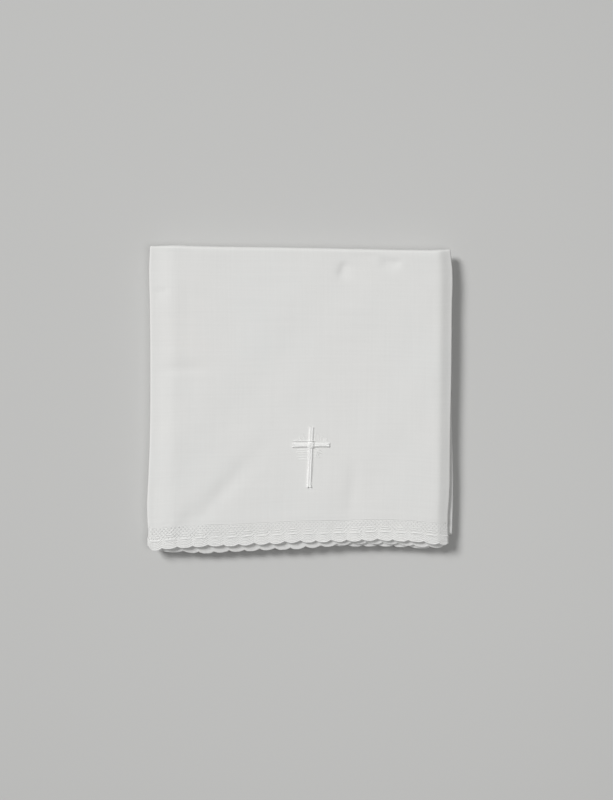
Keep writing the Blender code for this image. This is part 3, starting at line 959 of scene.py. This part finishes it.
# Fine stitches in the angles of the cross, in mm: x and y from its middle, the way they run, length
# and width of the pointed loop, which is 0 for one straight thread
fineStitches = (
    (2.9, 1.9, 90, 4.8, 2.0), (5.6, 1.9, 86, 2.9, 1.7),
    (7.6, 1.9, 80, 1.6, 0.9), (-2.0, 2.2, 118, 4.6, 1.5),
    (-4.1, 2.1, 132, 3.0, 1.3), (-6.2, 2.0, 150, 1.8, 0.9),
    (-1.7, -2.2, 181, 5.4, 0), (-1.9, -3.4, 180, 5.8, 0),
    (-1.9, -4.6, 179, 5.0, 0), (-2.0, -5.8, 181, 5.6, 0),
    (-2.0, -7.0, 180, 4.6, 0), (2.2, -2.1, -28, 4.4, 1.3),
    (2.0, -3.5, -52, 3.4, 1.2), (2.1, -5.6, -4, 3.2, 0),
)
# The two kinds of them: parts of the length, parts of the width and heights in mm
stitchKinds = {
    "loop": ((0, 0.5, -0.15), (0.12, 0.5, -0.04), (0.6, 0.42, -0.03), (1, 0, -0.04),
             (0.6, -0.42, -0.03), (0.12, -0.5, -0.04), (0, -0.5, -0.15)),
    "straight": ((0, 0, -0.15), (0.05, 0, -0.04), (0.95, 0, -0.04), (1, 0, -0.15)),
}


def clothTop(x, y):
    # height of the top layer's face at a place
    u = np.array([acrossAt("centre", x)])
    low, high = 0.0, foldForm["rowLengths"][0]
    for halving in range(40):
        middle = (low + high) / 2
        if foldPoints(u, [middle], [0.0])[1][0] < y:
            low = middle
        else:
            high = middle
    return foldPoints(u, [low], [linenSize["layer"] / 2])[2][0]


def armHalfWidth(arm, along):
    toEnd = min(arm["forward"] - along, along + arm["back"])
    flare = crossSize["flare"] - 1
    run = crossSize["flareLength"] * arm["width"]
    return arm["width"] / 2 * (1 + flare * max(0.0, 1 - toEnd / run))


def satinRuns(arm):
    size = crossSize
    ahead, aside = waysOf(arm["turn"])
    length = arm["forward"] + arm["back"]
    count = round(length / size["stitchPitch"])
    runs = []
    for i in range(count):
        along = -arm["back"] + length * (i + 0.5) / count
        half = armHalfWidth(arm, along)
        half *= 1 + sum(much * math.sin(i * often) for often, much in size["uneven"])
        slant = size["slant"] * half * math.sin(i * size["slantOften"])
        points = []
        for k in range(9):
            t = -1 + k / 4
            place = ahead * (along + slant * t) + aside * half * t
            side = (t - arm["ridge"]) / (1 - arm["ridge"] if t > arm["ridge"] else 1 + arm["ridge"])
            away = (size["crownReach"] * abs(side)) ** size["crown"]
            rise = size["rise"] * max(0.0, 1 - away)
            points.append((*place, rise - size["sunk"]))
        runs.append((points, size["stitchRadius"]))
    inset = size["forkInset"]
    for side in arm["forks"]:
        end = inset - arm["back"] if side < 0 else arm["forward"] - inset
        inner = end - math.copysign(size["forkBack"], end)
        outer = end + math.copysign(size["forkOut"], end)
        for way in (-1, 1):
            foot, tip = (ahead * at + aside * way * part * arm["width"]
                         for at, part in zip((inner, outer), size["forkAside"]))
            places = (foot, (foot + tip) / 2, tip)
            runs.append(([(*place, high) for place, high in zip(places, size["forkHeights"])],
                         size["lobe"]))
    return runs


def bossRuns():
    # stitches across a low dome, on the diagonal
    size = crossSize
    runs = []
    slant = size["bossDiagonal"]
    radius = size["bossWidth"] / 2
    count = round(2 * radius / size["bossPitch"])
    for i in range(count):
        across = -radius + 2 * radius * (i + 0.5) / count
        half = math.sqrt(radius**2 - across**2)
        points = []
        for k in range(9):
            t = -1 + k / 4
            far = min(1.0, math.hypot(half * t, across) / radius)
            lift = size["bossRise"] * (1 - size["bossFall"] * far**4)
            points.append((across * slant + half * t * slant, half * t * slant - across * slant, lift))
        runs.append((points, size["bossStitch"]))
    return runs


def makeCross():
    size = crossSize
    runs = [run for arm in size["arms"] for run in satinRuns(arm)] + bossRuns()
    obj = threads("satinCross", runs)
    padding = []
    for arm in size["arms"]:
        ahead, aside = waysOf(arm["turn"])
        ends = (size["padShort"] - arm["back"], 0.0, arm["forward"] - size["padShort"])
        for part in size["padsAside"]:
            points = [(*(ahead * t + aside * part * arm["width"]), size["padHeight"])
                      for t in ends]
            padding.append((points, size["padRadius"] * arm["width"]))
    core = threads("crossPadding", padding, 1)
    selectOnly(obj)
    core.select_set(True)
    bpy.ops.object.join()
    points = readPoints(obj.data) + (size["x"], size["y"], clothTop(size["x"], size["y"]))
    writePoints(obj.data, points)
    flatUv(obj.data, points[:, :2])
    finishPiece(obj, size["smoothBelow"], satinMaterial)
    return obj


def makeFineStitches():
    size = crossSize
    runs = []
    middle = np.array([size["x"], size["y"]])
    top = clothTop(*middle)
    for x, y, turn, length, width in fineStitches:
        ahead, aside = waysOf(turn)
        foot = middle + np.array([x, y]) * mm
        points = []
        for part, side, lift in stitchKinds["loop" if width else "straight"]:
            away = ahead * part * length + aside * side * width
            points.append((*(foot + away * mm), top + lift * mm))
        runs.append((points, size["fineRadius"]))
    # one laid cord above the crossbar's left arm
    bar = size["arms"][0]
    aside = bar["width"] / 2 + size["outline"]
    points = []
    for along in np.linspace(size["outlineFrom"], size["outlineTo"], 25):
        over = size["rise"] * math.exp(-((along / size["outlineClimb"]) ** 4))
        points.append((size["x"] + along, size["y"] + aside, top + size["outlineLift"] + over))
    runs.append((points, size["outlineRadius"]))
    obj = threads("fineStitches", runs)
    flatUv(obj.data, readPoints(obj.data)[:, :2])
    finishPiece(obj, size["smoothBelow"], satinMaterial)
    return obj


# Floor, light and camera

studio = {
    "floor": (0.58, 0.58, 0.57), "floorSize": 6.0, "floorRoughness": 0.9, "surround": 0.107,
    "key": {"place": (-3.05, 2.36, 3.70), "size": 1.7, "watts": 242.0},
    "fill": {"place": (0.12, -0.06, 0.60), "size": 0.3, "watts": 0.92},
}
# The photograph's frame: 0.508 mm a pixel on the cloth, and where the cloth's middle lies in it
view = {"imageSize": (613, 800), "metresPerPixel": 0.508 * mm, "clothMiddle": (300.1, 400.05),
        "lens": 50.0, "sensor": 36.0, "clipStart": 0.01}


def makeStudio(top):
    bpy.ops.object.select_all(action="DESELECT")
    bpy.ops.mesh.primitive_plane_add(size=studio["floorSize"])
    floor = bpy.context.active_object
    floor.name = "floor"
    paint = bpy.data.materials.new("floorPaint")
    paint.use_nodes = True
    fillInputs(paint.node_tree, paint.node_tree.nodes["Principled BSDF"],
               {"Base Color": (*studio["floor"], 1), "Roughness": studio["floorRoughness"]})
    floor.data.materials.append(paint)
    for name in ("key", "fill"):
        lamp = bpy.data.lights.new(name, "AREA")
        lamp.energy = studio[name]["watts"]
        lamp.size = studio[name]["size"]
        obj = bpy.data.objects.new(name, lamp)
        bpy.context.scene.collection.objects.link(obj)
        obj.location = studio[name]["place"]
        obj.rotation_euler = (-Vector(studio[name]["place"])).to_track_quat("-Z", "Y").to_euler()
    world = bpy.data.worlds.new("softRoom")
    world.use_nodes = True
    fillInputs(world.node_tree, world.node_tree.nodes["Background"],
               {"Color": (1, 1, 1, 1), "Strength": studio["surround"]})
    bpy.context.scene.world = world
    bpy.context.scene.view_settings.view_transform = "Standard"

    lens = bpy.data.cameras.new("above")
    lens.lens = view["lens"]
    lens.sensor_width = view["sensor"]
    camera = bpy.data.objects.new("above", lens)
    bpy.context.scene.collection.objects.link(camera)
    wide, high = view["imageSize"]
    scale = view["metresPerPixel"]
    far = high * scale * view["lens"] / view["sensor"]
    camera.location = ((wide / 2 - view["clothMiddle"][0]) * scale,
                       (view["clothMiddle"][1] - high / 2) * scale, top + far)
    lens.clip_start = view["clipStart"]
    bpy.context.scene.camera = camera


linen = makeLinen()
print("linen folded:", len(linen.data.polygons), "faces")
laces = makeLace()
print("lace folded:", [len(lace.data.polygons) for lace in laces])
cross = makeCross()
fineOnes = makeFineStitches()
print("cross worked:", len(cross.data.polygons), "faces")

for piece, slotName in ((linen, "linen"), (cross, "satin_stitch"), (fineOnes, "satin_stitch"),
                        *((lace, "lace") for lace in laces)):
    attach(piece, "root")
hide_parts("linen_cloth")
for lace in laces:
    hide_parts("lace_edging")
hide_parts("satin_cross")

makeStudio(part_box("linen_cloth")[1][2])
print("studio set")
